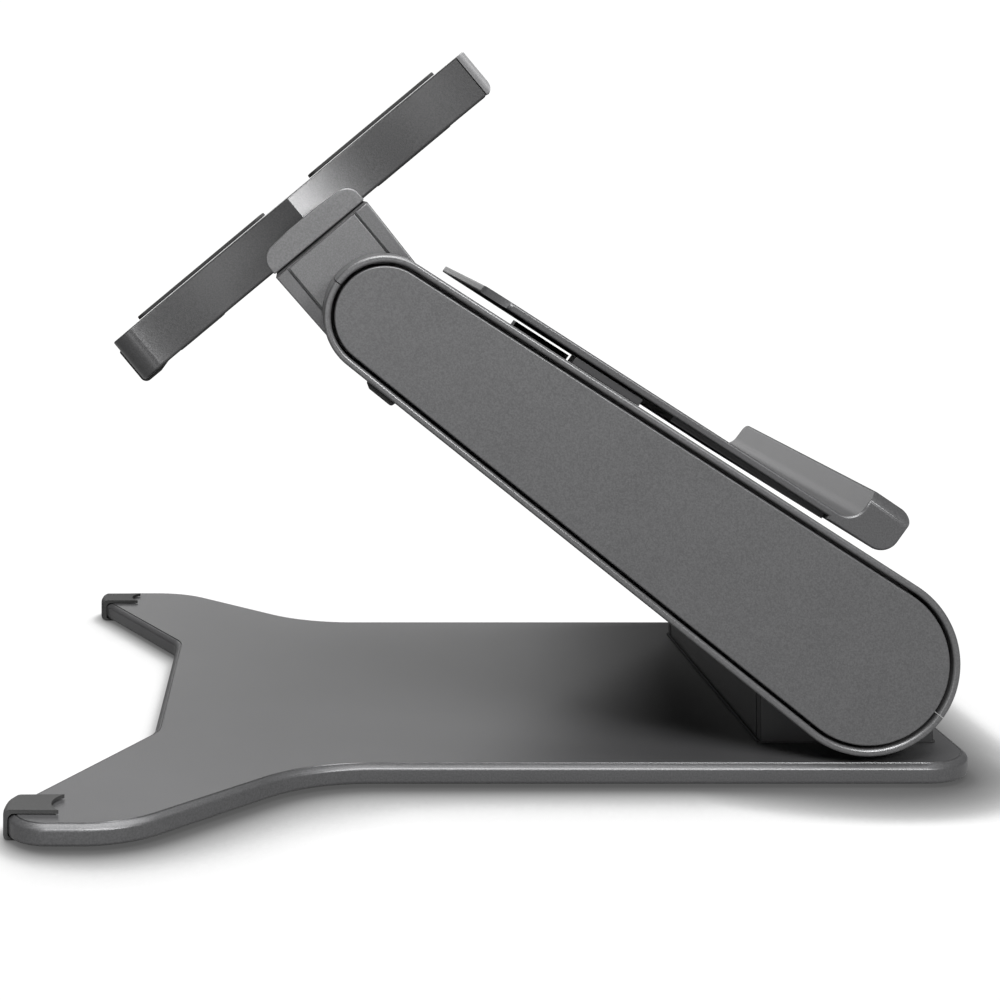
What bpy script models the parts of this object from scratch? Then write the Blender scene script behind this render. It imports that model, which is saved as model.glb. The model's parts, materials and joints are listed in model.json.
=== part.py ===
"""Adjustable desk stand for a large pen display.

A flat Y-shaped base carries a hinge block. A wide arm turns on that block, and at
the arm's upper end a neck tilts a swivelling mount plate. A release lever lies on
the back of the arm.

World frame: Z is up, the user's side is -X, and the desk top is Z = 0. The origin
lies on the desk straight below the lower hinge, on the stand's middle plane Y = 0.
All dimensions are in millimetres and are scaled to metres as shapes are made.
"""
import math

import bmesh
import bpy
from mathutils import Matrix, Vector

MM = 0.001
GAP = 0.3
ARC_STEP = math.radians(12.0)

# Base plate
FOOT_HEIGHT = 1.2
BASE_BOTTOM = 1.5
BASE_TOP = 10.0
BASE_EDGE_RADIUS = 2.6
BASE_REAR = 49.0
BASE_HALF_WIDTH = 124.0
BASE_REAR_CORNER = 24.0
LEG_ROOT = -233.0
LEG_ROOT_RADIUS = 60.0
LEG_HALF_WIDTH = 195.1
LEG_FRONT = -351.2
LEG_OUTER_RADIUS = 42.0
TOE_RADIUS = 17.0
LEG_INNER_ANGLE = math.radians(62.6)
CROTCH_X = -302.6
CROTCH_HALF_WIDTH = 76.5
CROTCH_RADIUS = 25.0
TOE_STRIP_Y = 174.5
TOE_STRIP_WIDTH = 17.0
TOE_STRIP_BACK = -331.5
TOE_RUBBER = 1.5

# Hinge block
LOWER_AXIS_Z = 51.9
BLOCK_RADIUS = 37.6
BLOCK_HALF_WIDTH = 95.0
BLOCK_COVER = 7.0
BLOCK_CAVITY_HALF_WIDTH = 70.0
BLOCK_WALL = 5.0
BUSH_RADIUS = 12.0
LOWER_SHAFT_RADIUS = 9.0
BASE_SCREW_X = 25.0
BASE_SCREW_Y = 78.0

# Arm, in the arm frame: a runs up the arm, b towards its back
ARM_RISE = math.radians(35.73)
ARM_LENGTH = 249.1
ARM_LOW_RADIUS = 38.7
ARM_HIGH_RADIUS = 25.9
ARM_HALF_WIDTH = 124.5
ARM_EDGE_RADIUS = 0.7
CHEEK_INNER = 97.0
WEB_OUTER = 100.0
RIM = 3.1
GROOVE = 1.5
ARM_OPEN_LOW = 43.0
ARM_OPEN_HIGH = 218.0
ARM_SKIN = 4.0
COVER_SKIRT = 2.4
COVER_FACE = 3.0
COVER_PROUD = 0.2
SIDE_PLATE = 4.0
UPPER_SHAFT_RADIUS = 7.0
UPPER_BUSH_RADIUS = 10.5

# Release lever
LEVER_HALF_WIDTH = 110.0
LEVER_GAP = 4.6
LEVER_SHEET = 3.5
LEVER_TOP = 220.0
LEVER_CORNER = 16.0
LIP_FOOT = 45.0
LIP_FOOT_GAP = 3.1
LIP_NEAR = 34.4
LIP_FAR = 14.4
LIP_HEIGHT = 61.5
LINER_BOTTOM = 2.1
LINER_HALF_WIDTH = 106.0
PIVOT_BLOCK_LOW = 137.5
PIVOT_BLOCK_HIGH = 171.5
PIVOT_BLOCK_TOP = 3.4
PIVOT_BLOCK_INNER_Y = 96.0
PIN_A = 140.0
PIN_HEIGHT = 1.85
PIN_RADIUS = 1.0
EAR_WIDTH = 7.5
RIB_A = 132.0
RIB_HALF_WIDTH = 9.0
RIB_TIP_B = 6.0
ROD_RADIUS = 4.0

# Head and mount plate, in the head frame: n is the plate's normal, t runs up the plate
PLATE_SLOPE = math.radians(39.8)
NECK_RADIUS = 24.9
NECK_HALF_HEIGHT = 25.8
NECK_TOP = 40.9
NECK_HALF_WIDTH = 96.0
NECK_ROOF = 6.5
PANEL_FOOT = 14.9
PANEL_LOW = -19.0
PANEL_HIGH = 18.4
PANEL_THICKNESS = 1.8
CAP_BACK = 41.8
CAP_FRONT = 53.3
CAP_HALF_HEIGHT = 25.4
CAP_CROWN = 1.2
CAP_INNER_Y = 91.8
PLATE_BACK = 42.3
PLATE_FRONT = 64.4
PLATE_HALF_LENGTH = 102.2
PLATE_HALF_WIDTH = 76.0
PLATE_WAIST = 8.0
PLATE_CORNER = 9.0
END_CAP = 4.2
END_CAP_CORNER = 3.0
PAD_THICKNESS = 1.7
REAR_PAD_THICKNESS = 0.8
BUMPER_THICKNESS = 1.4
SPINDLE_RADIUS = 8.0
SPINDLE_TOP = 58.0
VESA_HALF = 50.0

DARK_METAL = (0.060, 0.060, 0.062)
DARK_PLASTIC = (0.045, 0.045, 0.047)
RUBBER = (0.012, 0.012, 0.012)
STEEL = (0.45, 0.45, 0.46)
BRONZE = (0.38, 0.25, 0.11)


def clear_scene():
    for old in list(bpy.data.objects):
        bpy.data.objects.remove(old, do_unlink=True)


def new_collection(name):
    made = bpy.data.collections.new(name)
    bpy.context.scene.collection.children.link(made)
    return made


clear_scene()
STAND = new_collection("display_stand")
CUTTERS = new_collection("cutters")


def finish_material(name, colour, roughness, metallic):
    made = bpy.data.materials.new(name)
    made.use_nodes = True
    shader = made.node_tree.nodes["Principled BSDF"]
    shader.inputs["Base Color"].default_value = (*colour, 1.0)
    shader.inputs["Roughness"].default_value = roughness
    shader.inputs["Metallic"].default_value = metallic
    made.diffuse_color = (*colour, 1.0)
    return made


FINISHES = {
    "metal": (DARK_METAL, 0.45, 0.6),
    "plastic": (DARK_PLASTIC, 0.55, 0.0),
    "rubber": (RUBBER, 0.85, 0.0),
    "steel": (STEEL, 0.3, 1.0),
    "bronze": (BRONZE, 0.4, 1.0),
}


# ---------------------------------------------------------------- outlines

def arc(centre_x, centre_y, radius, start, end):
    """Points on a circular arc, with both ends."""
    steps = max(2, math.ceil(abs(end - start) / ARC_STEP))
    angles = [start + (end - start) * i / steps for i in range(steps + 1)]
    return [(centre_x + radius * math.cos(t), centre_y + radius * math.sin(t)) for t in angles]


def rounded_polygon(corners):
    """Outline through (x, y, radius) corners, each one rounded by an arc."""
    outline = []
    count = len(corners)
    for i, (x, y, radius) in enumerate(corners):
        here = Vector((x, y))
        before = Vector(corners[i - 1][:2]) - here
        after = Vector(corners[(i + 1) % count][:2]) - here
        if radius <= 0.0:
            outline.append((x, y))
            continue
        before.normalize()
        after.normalize()
        half = before.angle(after) / 2.0
        middle = here + (before + after).normalized() * (radius / math.sin(half))
        first = here + before * (radius / math.tan(half)) - middle
        last = here + after * (radius / math.tan(half)) - middle
        start = math.atan2(first.y, first.x)
        turn = (math.atan2(last.y, last.x) - start + math.pi) % (2.0 * math.pi) - math.pi
        outline += arc(middle.x, middle.y, radius, start, start + turn)
    return outline


def offset_outline(outline, distance):
    """A counter-clockwise outline moved outward along its vertex normals."""
    moved = []
    count = len(outline)
    for i, point in enumerate(outline):
        here = Vector(point)
        into = (here - Vector(outline[i - 1])).normalized()
        out = (Vector(outline[(i + 1) % count]) - here).normalized()
        normal = Vector((into.y + out.y, -into.x - out.x)).normalized()
        reach = distance / max(0.3, normal.dot(Vector((into.y, -into.x))))
        moved.append((here.x + normal.x * reach, here.y + normal.y * reach))
    return moved


def rectangle(x0, x1, y0, y1):
    return [(x0, y0), (x1, y0), (x1, y1), (x0, y1)]


def arm_outline(inset=0.0):
    """Tapered obround round the two arm axes, drawn in by an inset."""
    lean = math.acos((ARM_LOW_RADIUS - ARM_HIGH_RADIUS) / ARM_LENGTH)
    high = arc(ARM_LENGTH, 0.0, ARM_HIGH_RADIUS - inset, -lean, lean)
    low = arc(0.0, 0.0, ARM_LOW_RADIUS - inset, lean, 2.0 * math.pi - lean)
    return high + low


def half_arm_outline(side):
    """The half of the arm's outline on one side (+1 back, -1 front) of its axis."""
    lean = math.acos((ARM_LOW_RADIUS - ARM_HIGH_RADIUS) / ARM_LENGTH)
    high = arc(ARM_LENGTH, 0.0, ARM_HIGH_RADIUS, 0.0, lean)
    low = arc(0.0, 0.0, ARM_LOW_RADIUS, lean, math.pi)
    seam = GAP / 2.0
    points = [(a, max(b, seam)) for a, b in high + low]
    if side < 0:
        points = [(a, -b) for a, b in reversed(points)]
    return points


def base_outline():
    """Plan of the Y-shaped base: a straight body and two splayed front legs."""
    toe_y = CROTCH_HALF_WIDTH + (CROTCH_X - LEG_FRONT) * math.tan(LEG_INNER_ANGLE)
    shoulder = LEG_ROOT - (LEG_HALF_WIDTH - BASE_HALF_WIDTH)
    half = [
        (BASE_REAR, BASE_HALF_WIDTH, BASE_REAR_CORNER),
        (LEG_ROOT, BASE_HALF_WIDTH, LEG_ROOT_RADIUS),
        (shoulder, LEG_HALF_WIDTH, LEG_OUTER_RADIUS),
        (LEG_FRONT, LEG_HALF_WIDTH, TOE_RADIUS),
        (LEG_FRONT, toe_y, TOE_RADIUS),
        (CROTCH_X, CROTCH_HALF_WIDTH, CROTCH_RADIUS),
    ]
    mirrored = [(x, -y, r) for x, y, r in reversed(half)]
    return rounded_polygon(half + mirrored)


def plate_half_width(t):
    """Half-width of the mount plate: a shallow scallop on each side of the middle."""
    half_chord = PLATE_HALF_LENGTH / 2.0
    radius = (half_chord ** 2 + PLATE_WAIST ** 2) / (2.0 * PLATE_WAIST)
    along = abs(t) - half_chord
    depth = math.sqrt(radius ** 2 - along ** 2) - (radius - PLATE_WAIST)
    return PLATE_HALF_WIDTH - depth


def plate_outline(t_low, t_high, corner_low, corner_high):
    """Plan of the mount plate between two stations along it."""
    count = 14
    inner = [t_low + (t_high - t_low) * i / count for i in range(1, count)]
    right = [(t_low, -plate_half_width(t_low), corner_low)]
    right += [(t, -plate_half_width(t), 0.0) for t in inner if abs(t) < PLATE_HALF_LENGTH - 14.0]
    right += [(t_high, -plate_half_width(t_high), corner_high)]
    left = [(t, -y, r) for t, y, r in reversed(right)]
    return rounded_polygon(right + left)


# ---------------------------------------------------------------- solids

def add_object(name, mesh, collection, parent, matrix):
    made = bpy.data.objects.new(name, mesh)
    collection.objects.link(made)
    made.parent = parent
    made.matrix_local = matrix
    return made


def slab_mesh(name, outline, thickness):
    """A flat outline in local XY, filled and given a thickness about Z = 0."""
    curve = bpy.data.curves.new(name, "CURVE")
    curve.dimensions = "2D"
    curve.fill_mode = "BOTH"
    curve.extrude = thickness * MM / 2.0
    spline = curve.splines.new("POLY")
    spline.points.add(len(outline) - 1)
    for point, (x, y) in zip(spline.points, outline):
        point.co = (x * MM, y * MM, 0.0, 1.0)
    spline.use_cyclic_u = True
    holder = bpy.data.objects.new(name + "_outline", curve)
    CUTTERS.objects.link(holder)
    bpy.context.view_layer.update()
    evaluated = holder.evaluated_get(bpy.context.evaluated_depsgraph_get())
    mesh = bpy.data.meshes.new_from_object(evaluated)
    bpy.data.objects.remove(holder)
    shape = bmesh.new()
    shape.from_mesh(mesh)
    bmesh.ops.remove_doubles(shape, verts=shape.verts, dist=1e-6)
    flat = math.radians(0.5)
    bmesh.ops.dissolve_limit(shape, angle_limit=flat, verts=shape.verts, edges=shape.edges)
    bmesh.ops.recalc_face_normals(shape, faces=shape.faces)
    shape.to_mesh(mesh)
    shape.free()
    mesh.name = name
    return mesh


def rod_mesh(name, radius, length, segments):
    """A plain round bar along local Z."""
    mesh = bpy.data.meshes.new(name)
    shape = bmesh.new()
    bmesh.ops.create_cone(
        shape, cap_ends=True, segments=segments,
        radius1=radius * MM, radius2=radius * MM, depth=length * MM)
    shape.to_mesh(mesh)
    shape.free()
    return mesh


def dress(made, finish):
    colour, roughness, metallic = FINISHES[finish]
    made.data.materials.clear()
    made.data.materials.append(finish_material(made.name, colour, roughness, metallic))
    made.data.shade_smooth()
    made.data.set_sharp_from_angle(angle=math.radians(35.0))


def slab(name, outline, z0, z1, parent, finish):
    """A named part: an outline in the parent's XY plane, between two heights."""
    mesh = slab_mesh(name, outline, z1 - z0)
    made = add_object(name, mesh, STAND, parent, Matrix.Translation((0, 0, (z0 + z1) / 2 * MM)))
    dress(made, finish)
    return made


def slab_cutter(name, outline, z0, z1, parent):
    mesh = slab_mesh(name, outline, z1 - z0)
    made = add_object(name, mesh, CUTTERS, parent, Matrix.Translation((0, 0, (z0 + z1) / 2 * MM)))
    made.hide_render = True
    made.display_type = "WIRE"
    return made


def rod(name, radius, z0, z1, parent, finish, x=0.0, y=0.0, segments=24, turn=None):
    """A named round part along the parent's Z, or along Z after a turn."""
    place = (turn or Matrix()) @ Matrix.Translation((x * MM, y * MM, (z0 + z1) / 2 * MM))
    made = add_object(name, rod_mesh(name, radius, z1 - z0, segments), STAND, parent, place)
    dress(made, finish)
    return made


def rod_cutter(name, radius, z0, z1, parent, x=0.0, y=0.0, segments=24, turn=None):
    place = (turn or Matrix()) @ Matrix.Translation((x * MM, y * MM, (z0 + z1) / 2 * MM))
    made = add_object(name, rod_mesh(name, radius, z1 - z0, segments), CUTTERS, parent, place)
    made.hide_render = True
    made.display_type = "WIRE"
    return made


def boolean(target, tool, operation="DIFFERENCE"):
    step = target.modifiers.new(operation.lower() + "_" + tool.name, "BOOLEAN")
    step.operation = operation
    step.object = tool
    step.solver = "EXACT"
    return step


def bevel(target, width, segments=3, angle=50.0):
    step = target.modifiers.new("rounded_edges", "BEVEL")
    step.width = width * MM
    step.segments = segments
    step.limit_method = "ANGLE"
    step.angle_limit = math.radians(angle)
    return step


def spring(name, coil_radius, wire_radius, z0, z1, turns, parent, roundness=1, turn=None):
    """A coil of round wire along the parent's Z, or along Z after a turn."""
    curve = bpy.data.curves.new(name, "CURVE")
    curve.dimensions = "3D"
    curve.bevel_depth = wire_radius * MM
    curve.bevel_resolution = roundness
    curve.use_fill_caps = True
    spline = curve.splines.new("POLY")
    count = turns * 12
    spline.points.add(count)
    for i, point in enumerate(spline.points):
        angle = 2.0 * math.pi * turns * i / count
        height = z0 + (z1 - z0) * i / count
        spot = (coil_radius * math.cos(angle), coil_radius * math.sin(angle), height)
        point.co = (spot[0] * MM, spot[1] * MM, spot[2] * MM, 1.0)
    made = add_object(name, curve, STAND, parent, turn or Matrix())
    colour, roughness, metallic = FINISHES["steel"]
    curve.materials.append(finish_material(name, colour, roughness, metallic))
    return made


def hex_nut(name, radius, bore, z0, z1, parent, turn=None):
    made = rod(name, radius, z0, z1, parent, "steel", segments=6, turn=turn)
    hole = rod_cutter(name + "_bore", bore, z0 - 1.0, z1 + 1.0, parent, turn=turn)
    boolean(made, hole)
    return made


def ring(name, outer, bore, z0, z1, parent, finish, turn=None):
    made = rod(name, outer, z0, z1, parent, finish, turn=turn)
    hole = rod_cutter(name + "_bore", bore, z0 - 1.0, z1 + 1.0, parent, turn=turn)
    boolean(made, hole)
    return made


def both_sides(low, high):
    """The near (-Y, left) and far (+Y, right) spans of a mirrored pair."""
    return (("left", -high, -low), ("right", low, high))


# ---------------------------------------------------------------- frames

def frame_empty(name, parent, x_axis, y_axis, z_axis, origin):
    """An empty whose axes are the given world directions (orthonormal, right-handed)."""
    made = bpy.data.objects.new(name, None)
    made.empty_display_size = 0.05
    STAND.objects.link(made)
    turned = Matrix((x_axis, y_axis, z_axis)).transposed().to_4x4()
    world = Matrix.Translation(Vector(origin) * MM) @ turned
    if parent is not None:
        bpy.context.view_layer.update()
        made.parent = parent
        made.matrix_local = parent.matrix_world.inverted() @ world
    else:
        made.matrix_local = world
    bpy.context.view_layer.update()
    return made


def arm_axes():
    along = Vector((-math.cos(ARM_RISE), 0.0, math.sin(ARM_RISE)))
    back = Vector((math.sin(ARM_RISE), 0.0, math.cos(ARM_RISE)))
    return along, back


def back_of_arm(a):
    """Height b of the arm's flat back at a station a."""
    lean = math.acos((ARM_LOW_RADIUS - ARM_HIGH_RADIUS) / ARM_LENGTH)
    return (ARM_LOW_RADIUS - a * math.cos(lean)) / math.sin(lean)


ALONG_ARM, BACK_OF_ARM = arm_axes()
ACROSS = Vector((0.0, 1.0, 0.0))
LOWER_AXIS = Vector((0.0, 0.0, LOWER_AXIS_Z))
UPPER_AXIS = LOWER_AXIS + ALONG_ARM * ARM_LENGTH
PLATE_NORMAL = Vector((-math.sin(PLATE_SLOPE), 0.0, math.cos(PLATE_SLOPE)))
UP_PLATE = Vector((math.cos(PLATE_SLOPE), 0.0, math.sin(PLATE_SLOPE)))
PIN_B = back_of_arm(PIN_A) + PIN_HEIGHT

SIDE = frame_empty("block_frame", None, (-1, 0, 0), (0, 0, 1), (0, 1, 0), (0, 0, 0))
ARM = frame_empty("arm_axis", None, ALONG_ARM, BACK_OF_ARM, ACROSS, LOWER_AXIS)
LEVER = frame_empty(
    "lever_axis", ARM, ALONG_ARM, BACK_OF_ARM, ACROSS,
    LOWER_AXIS + ALONG_ARM * PIN_A + BACK_OF_ARM * PIN_B)
HEAD = frame_empty("head_axis", ARM, PLATE_NORMAL, UP_PLATE, ACROSS, UPPER_AXIS)
PLATE = frame_empty("plate_axis", HEAD, UP_PLATE, ACROSS, PLATE_NORMAL, UPPER_AXIS)
PLATE_SIDE = frame_empty("plate_side", PLATE, PLATE_NORMAL, UP_PLATE, ACROSS, UPPER_AXIS)

ALONG_X = Matrix.Rotation(math.radians(90.0), 4, "Y")


# ---------------------------------------------------------------- base

def build_base_plate():
    made = slab("base_plate", base_outline(), BASE_BOTTOM, BASE_TOP, None, "metal")
    bevel(made, BASE_EDGE_RADIUS, segments=2)
    for index, (x, y) in enumerate(base_screw_places()):
        name = f"screw_hole_{index + 1}"
        boolean(made, rod_cutter(name, 3.4, 0.0, 12.0, None, x, y, segments=16))
        boolean(made, rod_cutter(name + "_head", 6.2, 0.0, 5.1, None, x, y, segments=20))


def base_screw_places():
    return [(x, y) for x in (-BASE_SCREW_X, BASE_SCREW_X) for y in (-BASE_SCREW_Y, BASE_SCREW_Y)]


def build_base_screws():
    for index, (x, y) in enumerate(base_screw_places()):
        name = f"base_screw_{index + 1}"
        made = rod(name, 3.0, 2.0, 23.0, None, "steel", x, y, segments=14)
        head = rod_cutter(name + "_head", 5.6, 2.0, 4.8, None, x, y, segments=18)
        boolean(made, head, "UNION")


def build_toe_bumpers():
    plan = base_outline()
    outer = offset_outline(plan, TOE_RUBBER + GAP)
    inner = offset_outline(plan, GAP)
    half = TOE_STRIP_WIDTH / 2.0
    for side, middle in (("left", -TOE_STRIP_Y), ("right", TOE_STRIP_Y)):
        name = "toe_bumper_" + side
        strip = rectangle(LEG_FRONT - 20.0, TOE_STRIP_BACK, middle - half, middle + half)
        made = slab(name, strip, 0.0, BASE_TOP + GAP + TOE_RUBBER, None, "rubber")
        shell = slab_cutter(name + "_skin", outer, 0.0, BASE_TOP + GAP + TOE_RUBBER, None)
        bevel(shell, BASE_EDGE_RADIUS, segments=3)
        boolean(made, shell, "INTERSECT")
        core = slab_cutter(name + "_core", inner, BASE_BOTTOM - GAP, BASE_TOP + GAP, None)
        bevel(core, BASE_EDGE_RADIUS, segments=3)
        boolean(made, core)


def build_feet():
    rear = rounded_polygon([
        (-13.0, -100.0, 6.0), (13.0, -100.0, 6.0), (13.0, 100.0, 6.0), (-13.0, 100.0, 6.0)])
    slab("rear_foot_pad", rear, 0.0, FOOT_HEIGHT, None, "rubber")
    for side, middle in (("left", -100.0), ("right", 100.0)):
        strip = rounded_polygon([
            (-250.0, middle - 8.0, 6.0), (-180.0, middle - 8.0, 6.0),
            (-180.0, middle + 8.0, 6.0), (-250.0, middle + 8.0, 6.0)])
        slab("middle_foot_" + side, strip, 0.0, FOOT_HEIGHT, None, "rubber")


def block_outline(inset, floor):
    """Side view of the hinge block: upright sides under a half round."""
    radius = BLOCK_RADIUS - inset
    top = arc(0.0, LOWER_AXIS_Z, radius, 0.0, math.pi)
    return top + [(-radius, floor), (radius, floor)]


def build_hinge_block():
    floor = BASE_TOP + GAP
    core = BLOCK_HALF_WIDTH - BLOCK_COVER - GAP
    made = slab("hinge_block", block_outline(0.0, floor), -core, core, SIDE, "metal")
    hollow = block_outline(BLOCK_WALL, floor - 5.0)
    half = BLOCK_CAVITY_HALF_WIDTH
    boolean(made, slab_cutter("block_cavity", hollow, -half, half, SIDE))
    reach = BLOCK_HALF_WIDTH + 3.0
    bore = rod_cutter("block_bore", BUSH_RADIUS + GAP, -reach, reach, SIDE, 0.0, LOWER_AXIS_Z)
    boolean(made, bore)
    for index, (x, y) in enumerate(base_screw_places()):
        name = f"block_screw_hole_{index + 1}"
        boolean(made, rod_cutter(name, 3.4, 9.0, 25.0, None, x, y, segments=16))
    for side, low, high in both_sides(BLOCK_HALF_WIDTH - BLOCK_COVER, BLOCK_HALF_WIDTH):
        cover = slab(
            "hinge_side_cover_" + side, block_outline(0.0, floor), low, high, SIDE, "plastic")
        bevel(cover, 0.6, segments=1)
        hole = rod_cutter(
            "cover_bore_" + side, LOWER_SHAFT_RADIUS + 0.6, -reach, reach, SIDE, 0.0, LOWER_AXIS_Z)
        boolean(cover, hole)


def build_lower_hinge():
    place = Matrix.Translation((0.0, LOWER_AXIS_Z * MM, 0.0))
    inner = BLOCK_CAVITY_HALF_WIDTH + 0.5
    outer = BLOCK_HALF_WIDTH - BLOCK_COVER - 2.0 * GAP
    bore = LOWER_SHAFT_RADIUS + GAP
    for side, low, high in both_sides(inner, outer):
        ring("lower_bush_" + side, BUSH_RADIUS, bore, low, high, SIDE, "bronze", turn=place)
    for side, low, high in both_sides(8.0, 62.0):
        spring("lift_spring_" + side, 17.0, 2.2, low, high, 6, SIDE, turn=place)


# ---------------------------------------------------------------- arm

def build_arm_shells():
    open_low = rectangle(-60.0, ARM_OPEN_LOW, -60.0, 60.0)
    open_high = rectangle(ARM_OPEN_HIGH, 300.0, -60.0, 60.0)
    skin_low = ARM_OPEN_LOW + ARM_SKIN
    skin_high = ARM_OPEN_HIGH - ARM_SKIN
    tube = trimmed_tube(skin_low, skin_high)
    for name, side in (("arm_rear_shell", 1), ("arm_front_shell", -1)):
        outline = half_arm_outline(side)
        made = slab(name, outline, -ARM_HALF_WIDTH, ARM_HALF_WIDTH, ARM, "metal")
        bevel(made, ARM_EDGE_RADIUS, segments=2, angle=60.0)
        inner = CHEEK_INNER
        boolean(made, slab_cutter(name + "_low_gap", open_low, -inner, inner, ARM))
        boolean(made, slab_cutter(name + "_high_gap", open_high, -inner, inner, ARM))
        boolean(made, slab_cutter(name + "_tube", tube, 6.0 - inner, inner - 6.0, ARM))
        for end, low, high in both_sides(WEB_OUTER, ARM_HALF_WIDTH + 5.0):
            pocket = slab_cutter(f"{name}_pocket_{end}", arm_outline(RIM), low, high, ARM)
            boolean(made, pocket)
        lower = rod_cutter(name + "_low_bore", LOWER_SHAFT_RADIUS + 1.0, -105.0, 105.0, ARM)
        boolean(made, lower)
        upper = rod_cutter(
            name + "_high_bore", UPPER_SHAFT_RADIUS + 1.0, -105.0, 105.0, ARM, ARM_LENGTH)
        boolean(made, upper)
        rod_way = rod_cutter(name + "_rod_way", ROD_RADIUS + 0.8, 40.0, 50.0, ARM, turn=ALONG_X)
        boolean(made, rod_way)
        if side > 0:
            slot = rectangle(RIB_A - 12.0, RIB_A + 9.0, 10.0, 60.0)
            half = RIB_HALF_WIDTH + 2.0
            boolean(made, slab_cutter(name + "_lever_slot", slot, -half, half, ARM))


def trimmed_tube(low, high):
    """The straight-sided space inside the arm between its two end walls."""
    return [
        (low, ARM_SKIN - back_of_arm(low)), (high, ARM_SKIN - back_of_arm(high)),
        (high, back_of_arm(high) - ARM_SKIN), (low, back_of_arm(low) - ARM_SKIN)]


def build_arm_covers():
    face = ARM_HALF_WIDTH - COVER_PROUD
    foot = WEB_OUTER + GAP + SIDE_PLATE + GAP
    for side, low, high in both_sides(foot, face):
        name = "arm_cover_" + side
        made = slab(name, arm_outline(RIM + GROOVE), low, high, ARM, "metal")
        bevel(made, 0.6, segments=2)
        inner = (low + COVER_FACE, high + 5.0) if low < 0 else (low - 5.0, high - COVER_FACE)
        hollow = arm_outline(RIM + GROOVE + COVER_SKIRT)
        boolean(made, slab_cutter(name + "_hollow", hollow, inner[0], inner[1], ARM))


def build_side_plates():
    for side, low, high in both_sides(WEB_OUTER + GAP, WEB_OUTER + GAP + SIDE_PLATE):
        name = "arm_side_plate_" + side
        made = slab(name, arm_outline(RIM + 2.0), low, high, ARM, "steel")
        lower = rod_cutter(name + "_low_bore", LOWER_SHAFT_RADIUS + GAP, low - 1, high + 1, ARM)
        boolean(made, lower)
        upper = rod_cutter(
            name + "_high_bore", UPPER_SHAFT_RADIUS + GAP, low - 1, high + 1, ARM, ARM_LENGTH)
        boolean(made, upper)
        window = rounded_polygon([
            (60.0, -18.0, 8.0), (190.0, -12.0, 8.0), (190.0, 12.0, 8.0), (60.0, 18.0, 8.0)])
        boolean(made, slab_cutter(name + "_window", window, low - 1, high + 1, ARM))


def build_arm_shafts():
    nut_low = WEB_OUTER + 2.0 * GAP + SIDE_PLATE
    rod("lower_shaft", LOWER_SHAFT_RADIUS, -114.0, 114.0, ARM, "steel", segments=28)
    rod("upper_shaft", UPPER_SHAFT_RADIUS, -114.0, 114.0, ARM, "steel", ARM_LENGTH, segments=24)
    upper_place = Matrix.Translation((ARM_LENGTH * MM, 0.0, 0.0))
    for side, low, high in both_sides(nut_low, nut_low + 7.0):
        hex_nut("lower_nut_" + side, 15.0, LOWER_SHAFT_RADIUS + GAP, low, high, ARM)
        hex_nut("upper_nut_" + side, 12.0, UPPER_SHAFT_RADIUS + GAP, low, high, ARM, upper_place)


def build_rest_bumpers():
    """Soft pads under the two cheeks, near the arm's upper end."""
    lean = math.asin((ARM_LOW_RADIUS - ARM_HIGH_RADIUS) / ARM_LENGTH)
    middle = 231.0
    surface = -back_of_arm(middle)
    for side, low, high in both_sides(104.0, 122.0):
        corners = [(-7.0, -2.1, 0.8), (7.0, -2.1, 0.8), (7.0, -GAP, 0.0), (-7.0, -GAP, 0.0)]
        spun = []
        for a, b, radius in corners:
            turned_a = a * math.cos(lean) - b * math.sin(lean)
            turned_b = a * math.sin(lean) + b * math.cos(lean)
            spun.append((middle + turned_a, surface + turned_b, radius))
        slab("rest_bumper_" + side, rounded_polygon(spun), low, high, ARM, "rubber")


# ---------------------------------------------------------------- release lever

def lever_height(a, offset):
    return back_of_arm(a) + offset


def lever_profile():
    """Side view of the lever: a long thin sheet that ends in a thick upturned lip."""
    inner = LEVER_GAP
    outer = LEVER_GAP + LEVER_SHEET
    corners = [
        (LEVER_TOP, lever_height(LEVER_TOP, inner), 0.8),
        (LEVER_TOP, lever_height(LEVER_TOP, outer), 0.8),
        (LIP_NEAR, lever_height(LIP_NEAR, outer), 7.0),
        (LIP_NEAR - 0.4, LIP_HEIGHT, 0.8),
        (LIP_FAR, LIP_HEIGHT + 0.6, 4.0),
        (LIP_FAR, lever_height(LIP_FAR, LIP_FOOT_GAP), 8.5),
        (LIP_FOOT, lever_height(LIP_FOOT, LIP_FOOT_GAP), 0.0),
        (LIP_FOOT, lever_height(LIP_FOOT, inner), 0.0),
    ]
    return [(a - PIN_A, b - PIN_B) for a, b in rounded_polygon(corners)]


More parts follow.
